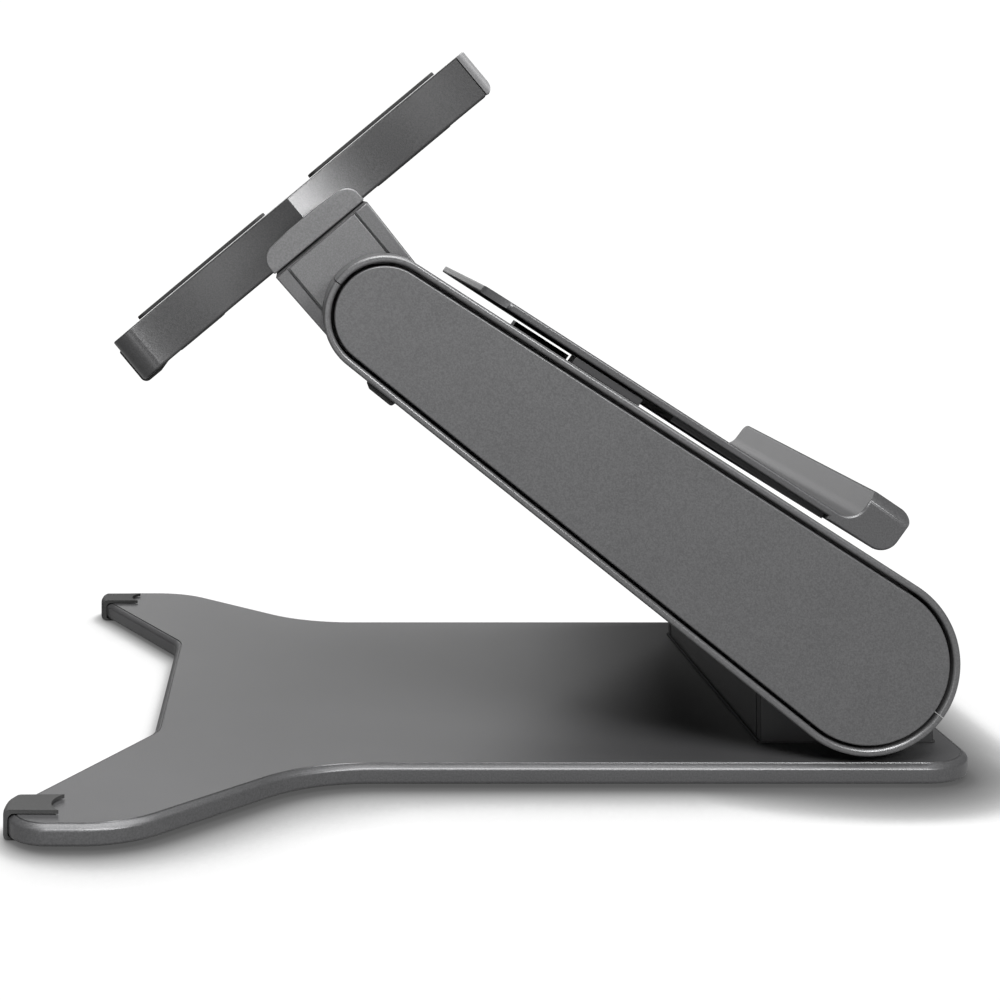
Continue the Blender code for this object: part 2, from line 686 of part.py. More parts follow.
def build_lever():
    half = LEVER_HALF_WIDTH
    made = slab("release_lever", lever_profile(), -half, half, LEVER, "metal")
    plan = rounded_polygon([
        (LEVER_TOP - PIN_A, -half, LEVER_CORNER), (LEVER_TOP - PIN_A, half, LEVER_CORNER),
        (LIP_FAR - PIN_A, half, 3.0), (LIP_FAR - PIN_A, -half, 3.0)])
    upright = Matrix.Rotation(math.radians(90.0), 4, "X")
    mesh = slab_mesh("lever_plan", plan, 120.0)
    trim = add_object("lever_plan", mesh, CUTTERS, LEVER, upright)
    trim.hide_render = True
    trim.display_type = "WIRE"
    boolean(made, trim, "INTERSECT")
    sheet = lever_height(RIB_A, LEVER_GAP + 1.0) - PIN_B
    at = RIB_A - PIN_A
    rib = [(at - 7.0, sheet), (at - 7.0, RIB_TIP_B - PIN_B), (at - 3.0, RIB_TIP_B - PIN_B),
           (at + 5.0, -6.0), (at + 5.0, sheet)]
    tongue = slab_cutter("lever_rib", rib, -RIB_HALF_WIDTH, RIB_HALF_WIDTH, LEVER)
    boolean(made, tongue, "UNION")
    ear = rectangle(-4.0, 4.0, 0.35 - PIN_HEIGHT, LEVER_GAP + 1.0 - PIN_HEIGHT)
    for side, low, high in both_sides(ear_inner(), PIVOT_BLOCK_INNER_Y - 0.5):
        lug = slab_cutter("lever_ear_" + side, ear, low, high, LEVER)
        boolean(made, lug, "UNION")
    boolean(made, rod_cutter("lever_pin_bore", PIN_RADIUS + 0.2, -98.0, 98.0, LEVER, segments=16))


def ear_inner():
    return PIVOT_BLOCK_INNER_Y - 0.5 - EAR_WIDTH


def strip_on_back(low, high, bottom, top):
    """Side view of a flat strip that lies between two heights over the arm's back."""
    return [
        (low, lever_height(low, top)), (high, lever_height(high, top)),
        (high, lever_height(high, bottom)), (low, lever_height(low, bottom))]


def build_lever_liner():
    """Plastic strip that stiffens the sheet between its lip and its rib."""
    span = strip_on_back(LIP_FOOT + GAP, RIB_A - 9.5, LINER_BOTTOM, LEVER_GAP - GAP)
    outline = [(a - PIN_A, b - PIN_B) for a, b in span]
    slab("lever_liner", outline, -LINER_HALF_WIDTH, LINER_HALF_WIDTH, LEVER, "plastic")


def build_lever_mount():
    outline = strip_on_back(PIVOT_BLOCK_LOW, PIVOT_BLOCK_HIGH, GAP, PIVOT_BLOCK_TOP)
    inner = PIVOT_BLOCK_INNER_Y
    outer = LEVER_HALF_WIDTH - 2.0
    for side, low, high in both_sides(inner, outer):
        made = slab("lever_mount_" + side, outline, low, high, ARM, "plastic")
        hole = rod_cutter(
            "mount_pin_bore_" + side, PIN_RADIUS + GAP, low - 1.0, high + 1.0,
            ARM, PIN_A, PIN_B, segments=16)
        boolean(made, hole)
    for side, low, high in both_sides(ear_inner() + 0.5, outer - 0.5):
        rod("lever_pin_" + side, PIN_RADIUS, low, high, ARM, "steel", PIN_A, PIN_B, segments=16)


def build_release_rod():
    """Push rod inside the arm, worked by the lever's rib, with a brake shoe at its end."""
    low = 42.0
    high = RIB_A - 15.0
    made = rod("release_rod", ROD_RADIUS, low, high, ARM, "steel", segments=16, turn=ALONG_X)
    lug = rectangle(RIB_A - 15.5, RIB_A - 8.0, -6.0, 20.0)
    boolean(made, slab_cutter("rod_lug", lug, -8.0, 8.0, ARM), "UNION")
    rod("brake_shoe", 7.0, 39.9, 41.7, ARM, "rubber", segments=20, turn=ALONG_X)
    spring("rod_spring", 6.6, 0.9, 52.0, 66.0, 4, ARM, roundness=0, turn=ALONG_X)


# ---------------------------------------------------------------- head

def neck_outline(inset, top):
    """Side view of the neck: a round barrel with a straight-sided body above it."""
    radius = NECK_RADIUS - inset
    half = NECK_HALF_HEIGHT - inset
    barrel = arc(0.0, 0.0, radius, math.pi / 2.0, 1.5 * math.pi)
    return barrel + [(top, -half), (top, half)]


def build_neck():
    half = NECK_HALF_WIDTH
    made = slab("neck_housing", neck_outline(0.0, NECK_TOP), -half, half, HEAD, "metal")
    bevel(made, 0.6, segments=1)
    hollow = neck_outline(5.0, NECK_TOP - NECK_ROOF)
    boolean(made, slab_cutter("neck_cavity", hollow, 20.0 - half, half - 20.0, HEAD))
    boolean(made, rod_cutter("neck_bore", UPPER_BUSH_RADIUS + GAP, -99.0, 99.0, HEAD))
    spindle_way = rod_cutter(
        "neck_spindle_bore", SPINDLE_RADIUS + GAP, 30.0, 46.0, HEAD, turn=ALONG_X)
    boolean(made, spindle_way)
    recess = rectangle(PANEL_FOOT - GAP, NECK_TOP + 1.0, PANEL_LOW - 0.5, PANEL_HIGH + 0.5)
    panel = rectangle(PANEL_FOOT, NECK_TOP - 0.1, PANEL_LOW, PANEL_HIGH)
    for side, low, high in both_sides(half - 0.1 - PANEL_THICKNESS, half - 0.1):
        deep = (low - 5.0, high + GAP) if low < 0 else (low - GAP, high + 5.0)
        boolean(made, slab_cutter("panel_recess_" + side, recess, deep[0], deep[1], HEAD))
        slab("neck_side_panel_" + side, panel, low, high, HEAD, "metal")
    for side, low, high in both_sides(half - 19.0, half - 2.6):
        ring("upper_bush_" + side, UPPER_BUSH_RADIUS, UPPER_SHAFT_RADIUS + GAP,
             low, high, HEAD, "bronze")


def cap_outline():
    """Side view of a head cap: square behind, softly crowned and rounded in front."""
    half = CAP_HALF_HEIGHT
    edge = CAP_FRONT - CAP_CROWN
    return rounded_polygon([
        (CAP_BACK, -half, 1.0), (edge, -half, 7.0), (CAP_FRONT, -half / 3.0, 20.0),
        (CAP_FRONT, half / 3.0, 20.0), (edge, half, 7.0), (CAP_BACK, half, 1.0)])


def build_head_caps():
    for side, low, high in both_sides(CAP_INNER_Y, NECK_HALF_WIDTH + 0.3):
        made = slab("head_cap_" + side, cap_outline(), low, high, HEAD, "metal")
        bevel(made, 0.6, segments=1)
    ring("swivel_ring", 32.0, SPINDLE_RADIUS + 1.0, NECK_TOP + GAP, PLATE_BACK - GAP,
         HEAD, "plastic", turn=ALONG_X)


# ---------------------------------------------------------------- mount plate

def build_mount_plate():
    top = PLATE_HALF_LENGTH - END_CAP - GAP
    plan = plate_outline(-PLATE_HALF_LENGTH, top, PLATE_CORNER, 0.0)
    made = slab("mount_plate", plan, PLATE_BACK, PLATE_FRONT, PLATE, "metal")
    bevel(made, 1.4, segments=2)
    for index, (t, y) in enumerate(vesa_places()):
        name = f"vesa_hole_{index + 1}"
        boolean(made, rod_cutter(name, 2.2, 40.0, 70.0, PLATE, t, y, segments=16))
    boolean(made, rod_cutter("hub_bore", SPINDLE_RADIUS + GAP, 40.0, SPINDLE_TOP + 0.5, PLATE))
    cap_plan = plate_outline(top + GAP, PLATE_HALF_LENGTH, 0.0, END_CAP_CORNER)
    cap = slab("plate_end_cap", cap_plan, PLATE_BACK, PLATE_FRONT, PLATE, "plastic")
    bevel(cap, 0.5, segments=1)


def vesa_places():
    return [(t, y) for t in (-VESA_HALF, VESA_HALF) for y in (-VESA_HALF, VESA_HALF)]


def build_plate_pads():
    """Soft strips on the front and the back of the plate, and the lower end bumper."""
    front = PLATE_FRONT + GAP
    back = PLATE_BACK - GAP
    for name, low, high, half, n0, n1 in (
            ("front_pad_lower", -89.4, -14.7, 42.0, front, front + PAD_THICKNESS),
            ("front_pad_upper", 14.7, 89.4, 42.0, front, front + PAD_THICKNESS),
            ("rear_pad_lower", -83.7, -57.4, 40.0, back - REAR_PAD_THICKNESS, back),
            ("rear_pad_upper", 36.0, 80.0, 40.0, back - REAR_PAD_THICKNESS, back)):
        outline = rounded_polygon([
            (low, -half, 4.0), (high, -half, 4.0), (high, half, 4.0), (low, half, 4.0)])
        slab(name, outline, n0, n1, PLATE, "rubber")
    end = -PLATE_HALF_LENGTH - GAP
    under = back - BUMPER_THICKNESS
    tip = end - BUMPER_THICKNESS
    profile = rounded_polygon([
        (under, tip, 2.6), (PLATE_FRONT - 5.0, tip, 0.6), (PLATE_FRONT - 5.0, end, 0.0),
        (back, end, 0.0), (back, end + 9.0, 0.0), (under, end + 9.0, 0.6)])
    slab("plate_end_bumper", list(reversed(profile)), -58.0, 58.0, PLATE_SIDE, "rubber")


def build_swivel():
    roof = NECK_TOP - NECK_ROOF - GAP
    rod("swivel_spindle", SPINDLE_RADIUS, 13.0, SPINDLE_TOP, PLATE, "steel", segments=28)
    hex_nut("spindle_nut", 15.0, SPINDLE_RADIUS + GAP, roof - 9.0, roof, PLATE)


build_base_plate()
build_base_screws()
build_toe_bumpers()
build_feet()
build_hinge_block()
build_lower_hinge()
build_arm_shells()
build_arm_covers()
build_side_plates()
build_arm_shafts()
build_rest_bumpers()
build_lever()
build_lever_liner()
build_lever_mount()
build_release_rod()
build_neck()
build_head_caps()
build_mount_plate()
build_plate_pads()
build_swivel()
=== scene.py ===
"""Looks for an adjustable pen-display stand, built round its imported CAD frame.

The visible shells are remade here with fine edges and arcs, at the places and sizes
that the frame gives. The hardware inside keeps its CAD shape and gets a finish.
Shapes are drawn in millimetres in local frames and are scaled to metres once.
"""
import json
import math

import bmesh
import bpy
from mathutils import Matrix, Vector


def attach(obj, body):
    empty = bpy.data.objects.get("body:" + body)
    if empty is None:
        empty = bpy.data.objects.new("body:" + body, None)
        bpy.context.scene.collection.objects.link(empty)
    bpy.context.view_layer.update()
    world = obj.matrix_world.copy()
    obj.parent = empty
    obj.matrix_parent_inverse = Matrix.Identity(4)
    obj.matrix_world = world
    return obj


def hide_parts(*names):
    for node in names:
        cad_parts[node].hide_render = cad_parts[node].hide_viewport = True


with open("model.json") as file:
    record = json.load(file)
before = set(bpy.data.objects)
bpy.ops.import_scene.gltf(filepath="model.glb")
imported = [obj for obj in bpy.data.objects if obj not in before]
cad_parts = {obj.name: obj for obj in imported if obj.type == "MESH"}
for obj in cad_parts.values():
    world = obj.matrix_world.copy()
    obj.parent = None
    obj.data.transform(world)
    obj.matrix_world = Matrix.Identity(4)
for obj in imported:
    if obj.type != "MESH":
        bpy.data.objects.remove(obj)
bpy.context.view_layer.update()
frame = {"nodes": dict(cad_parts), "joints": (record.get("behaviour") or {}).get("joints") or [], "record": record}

MM = 0.001
ARC_STEP = math.radians(3.0)
HALF_TURN = math.pi
QUARTER_TURN = math.radians(90.0)
SIDES = {"left": -1, "right": 1}


# ---------------------------------------------------------------- places from the frame

def joint(name):
    """A joint of the frame by its name."""
    return next(j for j in frame["joints"] if j["name"] == name)


def axes_matrix(x_axis, y_axis, z_axis, origin):
    """A local frame with the given world directions as its axes."""
    turned = Matrix((x_axis, y_axis, z_axis)).transposed().to_4x4()
    return Matrix.Translation(origin) @ turned


LOWER_AXIS = Vector(joint("arm_lift")["pos_m"])
UPPER_AXIS = Vector(joint("head_tilt")["pos_m"])
PLATE_NORMAL = Vector(joint("plate_swivel")["axis"]).normalized()
ACROSS = Vector((0.0, 1.0, 0.0))
ALONG_ARM = (UPPER_AXIS - LOWER_AXIS).normalized()
BACK_OF_ARM = ACROSS.cross(ALONG_ARM)
UP_PLATE = ACROSS.cross(PLATE_NORMAL)

WORLD = Matrix.Identity(4)
BLOCK = axes_matrix(Vector((-1, 0, 0)), Vector((0, 0, 1)), ACROSS, Vector((0, 0, 0)))
ARM = axes_matrix(ALONG_ARM, BACK_OF_ARM, ACROSS, LOWER_AXIS)
HEAD = axes_matrix(PLATE_NORMAL, UP_PLATE, ACROSS, UPPER_AXIS)
PLATE = axes_matrix(UP_PLATE, ACROSS, PLATE_NORMAL, UPPER_AXIS)


def span(node, place):
    """Lowest and highest corner of a CAD node in a local frame, in millimetres."""
    into = place.inverted()
    points = [into @ v.co / MM for v in frame["nodes"][node].data.vertices]
    low = Vector([min(p[i] for p in points) for i in range(3)])
    high = Vector([max(p[i] for p in points) for i in range(3)])
    return low, high


# ---------------------------------------------------------------- outlines

def arc(x, y, radius, start, end):
    """Points on an arc round (x, y) from a start angle to an end angle."""
    steps = max(2, math.ceil(abs(end - start) / ARC_STEP))
    angles = [start + (end - start) * i / steps for i in range(steps + 1)]
    return [(x + radius * math.cos(t), y + radius * math.sin(t)) for t in angles]


def rounded(corners):
    """Outline through (x, y, radius) corners, each one rounded by an arc."""
    outline = []
    for i, (x, y, radius) in enumerate(corners):
        if radius <= 0.0:
            outline.append((x, y))
            continue
        here = Vector((x, y))
        before = (Vector(corners[i - 1][:2]) - here).normalized()
        after = (Vector(corners[(i + 1) % len(corners)][:2]) - here).normalized()
        half = before.angle(after) / 2.0
        middle = here + (before + after).normalized() * (radius / math.sin(half))
        first = here + before * (radius / math.tan(half)) - middle
        last = here + after * (radius / math.tan(half)) - middle
        start = math.atan2(first.y, first.x)
        turn = (math.atan2(last.y, last.x) - start + HALF_TURN) % (2 * HALF_TURN) - HALF_TURN
        outline += arc(middle.x, middle.y, radius, start, start + turn)
    return outline


def box_outline(x0, x1, y0, y1, radius=0.0):
    """Rectangle with four equal corners."""
    return rounded([(x0, y0, radius), (x1, y0, radius), (x1, y1, radius), (x0, y1, radius)])


def drawn_in(outline, distance):
    """A counter-clockwise outline moved inward (outward if negative) along its normals."""
    moved = []
    count = len(outline)
    for i, point in enumerate(outline):
        here = Vector(point)
        into = (here - Vector(outline[i - 1])).normalized()
        out = (Vector(outline[(i + 1) % count]) - here).normalized()
        inward = Vector((-into.y - out.y, into.x + out.x)).normalized()
        reach = distance / max(0.3, inward.dot(Vector((-into.y, into.x))))
        moved.append((here.x + inward.x * reach, here.y + inward.y * reach))
    return moved


def counter_clockwise(outline):
    """The same outline, in counter-clockwise order."""
    area = sum(
        outline[i - 1][0] * y - outline[i - 1][1] * x for i, (x, y) in enumerate(outline))
    return outline if area > 0 else list(reversed(outline))


# ---------------------------------------------------------------- solids

def edge(low, high, low_radius, high_radius, steps=4):
    """(inset, height) rings of a slab whose two rims are rounded."""
    rings = []
    angles = [QUARTER_TURN * i / steps for i in range(steps + 1)]
    for angle in angles:
        inset = low_radius * (1 - math.sin(angle))
        rings.append((inset, low + low_radius * (1 - math.cos(angle))))
    for angle in angles:
        inset = high_radius * (1 - math.cos(angle))
        rings.append((inset, high - high_radius * (1 - math.sin(angle))))
    return rings


def solid(outline, rings, place):
    """A mesh through copies of an outline, each drawn in by an inset at its own height."""
    shape = bmesh.new()
    loops = []
    for inset, height in rings:
        loop = drawn_in(outline, inset) if inset else outline
        loops.append([shape.verts.new((x, y, height)) for x, y in loop])
    count = len(outline)
    for lower, upper in zip(loops, loops[1:]):
        for i in range(count):
            j = (i + 1) % count
            shape.faces.new((lower[i], lower[j], upper[j], upper[i]))
    shape.faces.new(list(reversed(loops[0])))
    shape.faces.new(loops[-1])
    bmesh.ops.remove_doubles(shape, verts=shape.verts, dist=1e-4)
    bmesh.ops.recalc_face_normals(shape, faces=shape.faces)
    shape.transform(place @ Matrix.Scale(MM, 4))
    mesh = bpy.data.meshes.new("solid")
    shape.to_mesh(mesh)
    shape.free()
    return mesh


def carved(mesh, tool, operation="DIFFERENCE"):
    """A mesh after a boolean step with another mesh."""
    holder = bpy.data.objects.new("holder", mesh)
    cutter = bpy.data.objects.new("cutter", tool)
    for each in (holder, cutter):
        bpy.context.scene.collection.objects.link(each)
    step = holder.modifiers.new("step", "BOOLEAN")
    step.operation = operation
    step.object = cutter
    step.solver = "EXACT"
    bpy.context.view_layer.update()
    result = bpy.data.meshes.new_from_object(
        holder.evaluated_get(bpy.context.evaluated_depsgraph_get()))
    for each in (holder, cutter):
        bpy.data.objects.remove(each)
    return result


def piece(name, mesh, body, look, material_slot, *nodes, crease=40.0):
    """Shows a mesh as a named piece that rides on a body and stands for CAD nodes."""
    mesh.name = name
    mesh.materials.clear()
    mesh.materials.append(look)
    mesh.shade_smooth()
    mesh.set_sharp_from_angle(angle=math.radians(crease))
    made = bpy.data.objects.new(name, mesh)
    bpy.context.scene.collection.objects.link(made)
    even = made.modifiers.new("flat_faces_stay_flat", "WEIGHTED_NORMAL")
    even.keep_sharp = True
    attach(made, body)
    if nodes:
        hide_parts(*nodes)
    return made


# ---------------------------------------------------------------- finishes

class Wiring:
    """Small helper that adds nodes to a material's tree and links them."""

    def __init__(self, name):
        self.material = bpy.data.materials.new(name)
        self.material.use_nodes = True
        self.tree = self.material.node_tree
        self.shader = self.tree.nodes["Principled BSDF"]
        self.where = self.add("ShaderNodeTexCoord").outputs["Object"]

    def add(self, kind, **settings):
        node = self.tree.nodes.new(kind)
        for key, value in settings.items():
            setattr(node, key, value)
        return node

    def link(self, source, target):
        self.tree.links.new(source, target)

    def noise(self, scale, detail=2.0, roughness=0.5, where=None):
        node = self.add("ShaderNodeTexNoise")
        node.inputs["Scale"].default_value = scale
        node.inputs["Detail"].default_value = detail
        node.inputs["Roughness"].default_value = roughness
        self.link(where or self.where, node.inputs["Vector"])
        return node.outputs["Fac"]

    def stretched(self, x, y, z):
        node = self.add("ShaderNodeMapping")
        node.inputs["Scale"].default_value = (x, y, z)
        self.link(self.where, node.inputs["Vector"])
        return node.outputs["Vector"]

    def ramp(self, value, low, high, from_value=0.35, to_value=0.65):
        node = self.add("ShaderNodeMapRange")
        node.inputs["From Min"].default_value = from_value
        node.inputs["From Max"].default_value = to_value
        node.inputs["To Min"].default_value = low
        node.inputs["To Max"].default_value = high
        self.link(value, node.inputs["Value"])
        return node.outputs["Result"]

    def tint(self, value, dark, light):
        """Colour that runs from dark to light with a value, and goes to the shader."""
        node = self.add("ShaderNodeMix", data_type="RGBA")
        node.inputs[6].default_value = (*dark, 1.0)
        node.inputs[7].default_value = (*light, 1.0)
        self.link(value, node.inputs[0])
        self.link(node.outputs[2], self.shader.inputs["Base Color"])

    def bump(self, value, depth, strength=1.0):
        node = self.add("ShaderNodeBump")
        node.inputs["Strength"].default_value = strength
        node.inputs["Distance"].default_value = depth
        self.link(value, node.inputs["Height"])
        self.link(node.outputs["Normal"], self.shader.inputs["Normal"])


def coat(name, colour, roughness, grain=1500.0, depth=0.00003, metallic=0.55):
    """Fine textured coat: speckled tone, soft clouding in the gloss and a tight grain."""
    made = Wiring(name)
    speckle = made.noise(grain, detail=3.0, roughness=0.6)
    cloud = made.noise(35.0, detail=2.0)
    mixed = made.add("ShaderNodeMath", operation="ADD")
    made.link(made.ramp(speckle, 0.0, 0.9), mixed.inputs[0])
    made.link(made.ramp(cloud, 0.0, 0.1), mixed.inputs[1])
    dark = [c * 0.84 for c in colour]
    light = [c * 1.18 for c in colour]
    made.tint(mixed.outputs[0], dark, light)
    made.link(
        made.ramp(speckle, roughness - 0.02, roughness + 0.02), made.shader.inputs["Roughness"])
    made.shader.inputs["Metallic"].default_value = metallic
    made.bump(speckle, depth)
    return made.material


def brushed(name, colour, roughness):
    """Bare turned or brushed metal with fine streaks."""
    made = Wiring(name)
    streak = made.noise(60.0, detail=4.0, where=made.stretched(1.0, 40.0, 1.0))
    made.tint(made.ramp(streak, 0.0, 1.0), [c * 0.8 for c in colour], colour)
    made.link(
        made.ramp(streak, roughness - 0.06, roughness + 0.08), made.shader.inputs["Roughness"])
    made.shader.inputs["Metallic"].default_value = 1.0
    made.bump(streak, 0.00002)
    return made.material


COAT_BASE = coat("base_coat", (0.085, 0.085, 0.087), 0.38)
COAT_BLOCK = coat("block_coat", (0.022, 0.022, 0.023), 0.45)
COAT_SHELL = coat("arm_shell_coat", (0.110, 0.110, 0.112), 0.36)
COAT_COVER = coat("arm_cover_coat", (0.095, 0.095, 0.097), 0.42)
COAT_LEVER = coat("lever_coat", (0.085, 0.085, 0.087), 0.38)
COAT_NECK = coat("neck_coat", (0.110, 0.110, 0.112), 0.42)
COAT_HEAD_TRIM = coat("head_trim_coat", (0.128, 0.128, 0.130), 0.42)
COAT_PLATE = coat("plate_coat", (0.060, 0.060, 0.061), 0.32)
DARK_PLASTIC = coat("dark_plastic", (0.020, 0.020, 0.021), 0.55, grain=2200.0, metallic=0.0)
END_PLASTIC = coat("end_cap_plastic", (0.140, 0.140, 0.143), 0.50, grain=2200.0, metallic=0.0)
RUBBER = coat("rubber", (0.010, 0.010, 0.010), 0.75, 1200.0, 0.00005, metallic=0.0)
RUBBER_TOP = coat("toe_rubber", (0.028, 0.028, 0.028), 0.70, 1200.0, 0.00005, metallic=0.0)
STEEL = brushed("zinc_plated_steel", (0.45, 0.45, 0.46), 0.32)
BRONZE = brushed("sintered_bronze", (0.38, 0.25, 0.11), 0.42)

SLOT_LOOKS = {
    "painted_metal": COAT_BASE,
    "painted_alloy": COAT_BLOCK,
    "dark_plastic": DARK_PLASTIC,
    "steel": STEEL,
    "bronze": BRONZE,
    "rubber": RUBBER,
}


def dress_cad_nodes():
    """Gives every CAD node the finish of its material slot."""
    for part in frame["record"]["subparts"]:
        node = frame["nodes"][part["node"]]
        node.data.materials.clear()
        node.data.materials.append(SLOT_LOOKS[part["material_slot"]])


dress_cad_nodes()


# ---------------------------------------------------------------- base

BASE_LOW, BASE_HIGH = span("base_plate", WORLD)
BODY_HALF_WIDTH = 124.0
REAR_CORNER = 24.0
LEG_ROOT_X = -233.0
LEG_ROOT_RADIUS = 60.0
LEG_OUTER_RADIUS = 42.0
TOE_RADIUS = 17.0
LEG_INNER_ANGLE = math.radians(62.6)
CROTCH_X = -302.6
CROTCH_HALF_WIDTH = 76.5
CROTCH_RADIUS = 25.0
TOE_RUBBER = 1.8
TOE_FIT = 0.3
NOTCH_SETBACK = 9.0
NOTCH_RADIUS = 12.4
NOTCH_TRIM = 0.76
# How far the dark foot, part flange and part painted shadow line, shows beyond the block.
BLOCK_FOOT_SHADOW_MARGIN = 1.2


def base_plan():
    """Plan of the Y-shaped base: a straight body and two splayed front legs."""
    front = BASE_LOW.x
    half_width = BASE_HIGH.y
    toe_y = CROTCH_HALF_WIDTH + (CROTCH_X - front) * math.tan(LEG_INNER_ANGLE)
    shoulder = LEG_ROOT_X - (half_width - BODY_HALF_WIDTH)
    half = [
        (BASE_HIGH.x, BODY_HALF_WIDTH, REAR_CORNER),
        (LEG_ROOT_X, BODY_HALF_WIDTH, LEG_ROOT_RADIUS),
        (shoulder, half_width, LEG_OUTER_RADIUS),
        (front, half_width, TOE_RADIUS),
        (front, toe_y, TOE_RADIUS),
        (CROTCH_X, CROTCH_HALF_WIDTH, CROTCH_RADIUS),
    ]
    mirrored = [(x, -y, r) for x, y, r in reversed(half)]
    return counter_clockwise(rounded(half + mirrored))


def base_rings():
    """Edge of the base plate: rounded underside, upright wall, chamfer and a fine step."""
    low, high = BASE_LOW.z, BASE_HIGH.z
    return [
        (1.6, low), (0.8, low + 0.3), (0.2, low + 0.9), (0.0, low + 1.7),
        (0.0, high - 2.6), (0.12, high - 2.1), (0.5, high - 1.5),
        (2.0, high - 0.45), (2.5, high - 0.3), (2.75, high - 0.55),
        (3.0, high - 0.55), (3.2, high - 0.06), (3.4, high)]


def build_base():
    """Base plate with its softly broken upper edge."""
    mesh = solid(base_plan(), base_rings(), WORLD)
    piece("base_body", mesh, "base", COAT_BASE, "painted_metal", "base_plate")


def build_toe_bumpers():
    """Rubber strips over the toes, notched at the inner end."""
    plan = base_plan()
    skin = edge(0.0, BASE_HIGH.z + TOE_RUBBER, 1.6, 2.4)
    core = edge(BASE_LOW.z - TOE_FIT, BASE_HIGH.z + TOE_FIT, 1.0, 2.4)
    for side in SIDES:
        node = "toe_bumper_" + side
        low, high = span(node, WORLD)
        notch = arc(
            high.x + NOTCH_SETBACK, (low.y + high.y) / 2.0, NOTCH_RADIUS,
            3 * QUARTER_TURN - NOTCH_TRIM, QUARTER_TURN + NOTCH_TRIM)
        strip = [(low.x - 6.0, high.y), (low.x - 6.0, low.y)] + notch
        mesh = solid(counter_clockwise(strip), [(0.0, -1.0), (0.0, 20.0)], WORLD)
        mesh = carved(mesh, solid(drawn_in(plan, -TOE_RUBBER), skin, WORLD), "INTERSECT")
        mesh = carved(mesh, solid(drawn_in(plan, -TOE_FIT), core, WORLD))
        piece("toe_rubber_" + side, mesh, "base", RUBBER_TOP, "rubber", node)


def block_side(radius, floor):
    """Side view of the hinge block: an arch round the lower axis, down to the base."""
    arch = arc(0.0, LOWER_AXIS.z / MM, radius, 0.0, HALF_TURN)
    return counter_clockwise(arch + [(-radius, floor), (radius, floor)])


def build_hinge_block():
    """Block with a plastic cover on each side, and a thin near-black rubber foot under it that also paints the
    shadow line along the block's foot.
    """
    low, high = span("hinge_block", BLOCK)
    outline = block_side(high.x, low.y)
    mesh = solid(outline, edge(low.z, high.z, 0.5, 0.5), BLOCK)
    piece("hinge_block_body", mesh, "base", COAT_BLOCK, "painted_alloy", "hinge_block")
    for side, sign in SIDES.items():
        node = "hinge_side_cover_" + side
        cover_low, cover_high = span(node, BLOCK)
        inner = min(abs(cover_low.z), abs(cover_high.z)) + 0.5
        outer = max(abs(cover_low.z), abs(cover_high.z))
        mesh = solid(outline, edge(*sorted((sign * inner, sign * outer)), 0.8, 0.8), BLOCK)
        piece("hinge_cover_" + side, mesh, "base", DARK_PLASTIC, "dark_plastic", node)
    # The foot's near-black rubber stands partly for a thin flange and partly for painted shade: the contact shadow
    # along the block's foot.
    reach = high.x + BLOCK_FOOT_SHADOW_MARGIN
    foot_and_shadow_plan = box_outline(-reach, reach, -outer, outer, 2.0)
    mesh = solid(foot_and_shadow_plan, edge(BASE_HIGH.z + 0.02, BASE_HIGH.z + 0.9, 0.1, 0.4), WORLD)
    piece("block_foot_and_shadow_line", mesh, "base", RUBBER, "rubber")


# ---------------------------------------------------------------- arm

ARM_LOW, ARM_HIGH = span("arm_rear_shell", ARM)
ARM_LENGTH = (UPPER_AXIS - LOWER_AXIS).length / MM
LOW_RADIUS = -ARM_LOW.x
HIGH_RADIUS = ARM_HIGH.x - ARM_LENGTH
LEAN = math.acos((LOW_RADIUS - HIGH_RADIUS) / ARM_LENGTH)
COVER_INSET = LOW_RADIUS + span("arm_cover_right", ARM)[0].x
PARTING = 0.22
RIM = 3.1
RIM_ROUNDING = 1.2
CHEEK_INNER = 97.0
WEB_OUTER = 100.0
OPEN_LOW = 43.0
OPEN_HIGH = 218.0
LINER_BOTTOM = 2.1
MOUNT_TOP = 3.5
LEVER_GAP = 4.6
LEVER_SHEET = 3.5
LIP_NEAR = 34.4
LIP_TOP = 61.5
LIP_FOOT = 45.0
LIP_FOOT_GAP = 3.1


def arm_side(inset):
    """Tapered obround round the two arm axes, drawn in by an inset."""
    high = arc(ARM_LENGTH, 0.0, HIGH_RADIUS - inset, -LEAN, LEAN)
    low = arc(0.0, 0.0, LOW_RADIUS - inset, LEAN, 2.0 * HALF_TURN - LEAN)
    return high + low


def back_of_arm(a):
    """Height of the arm's flat back at a distance along the arm."""
    return (LOW_RADIUS - a * math.cos(LEAN)) / math.sin(LEAN)


def pocket_rings(half):
    """Pocket behind a side cover, with a mouth that rounds the rim's inner edge."""
    rings = [(RIM_ROUNDING, WEB_OUTER)]
    low = half - RIM_ROUNDING
    for i in range(6):
        angle = math.radians(16.0 * i)
        rings.append((RIM_ROUNDING * math.cos(angle), low + RIM_ROUNDING * math.sin(angle)))
    return rings + [(-0.02, half + 3.0)]


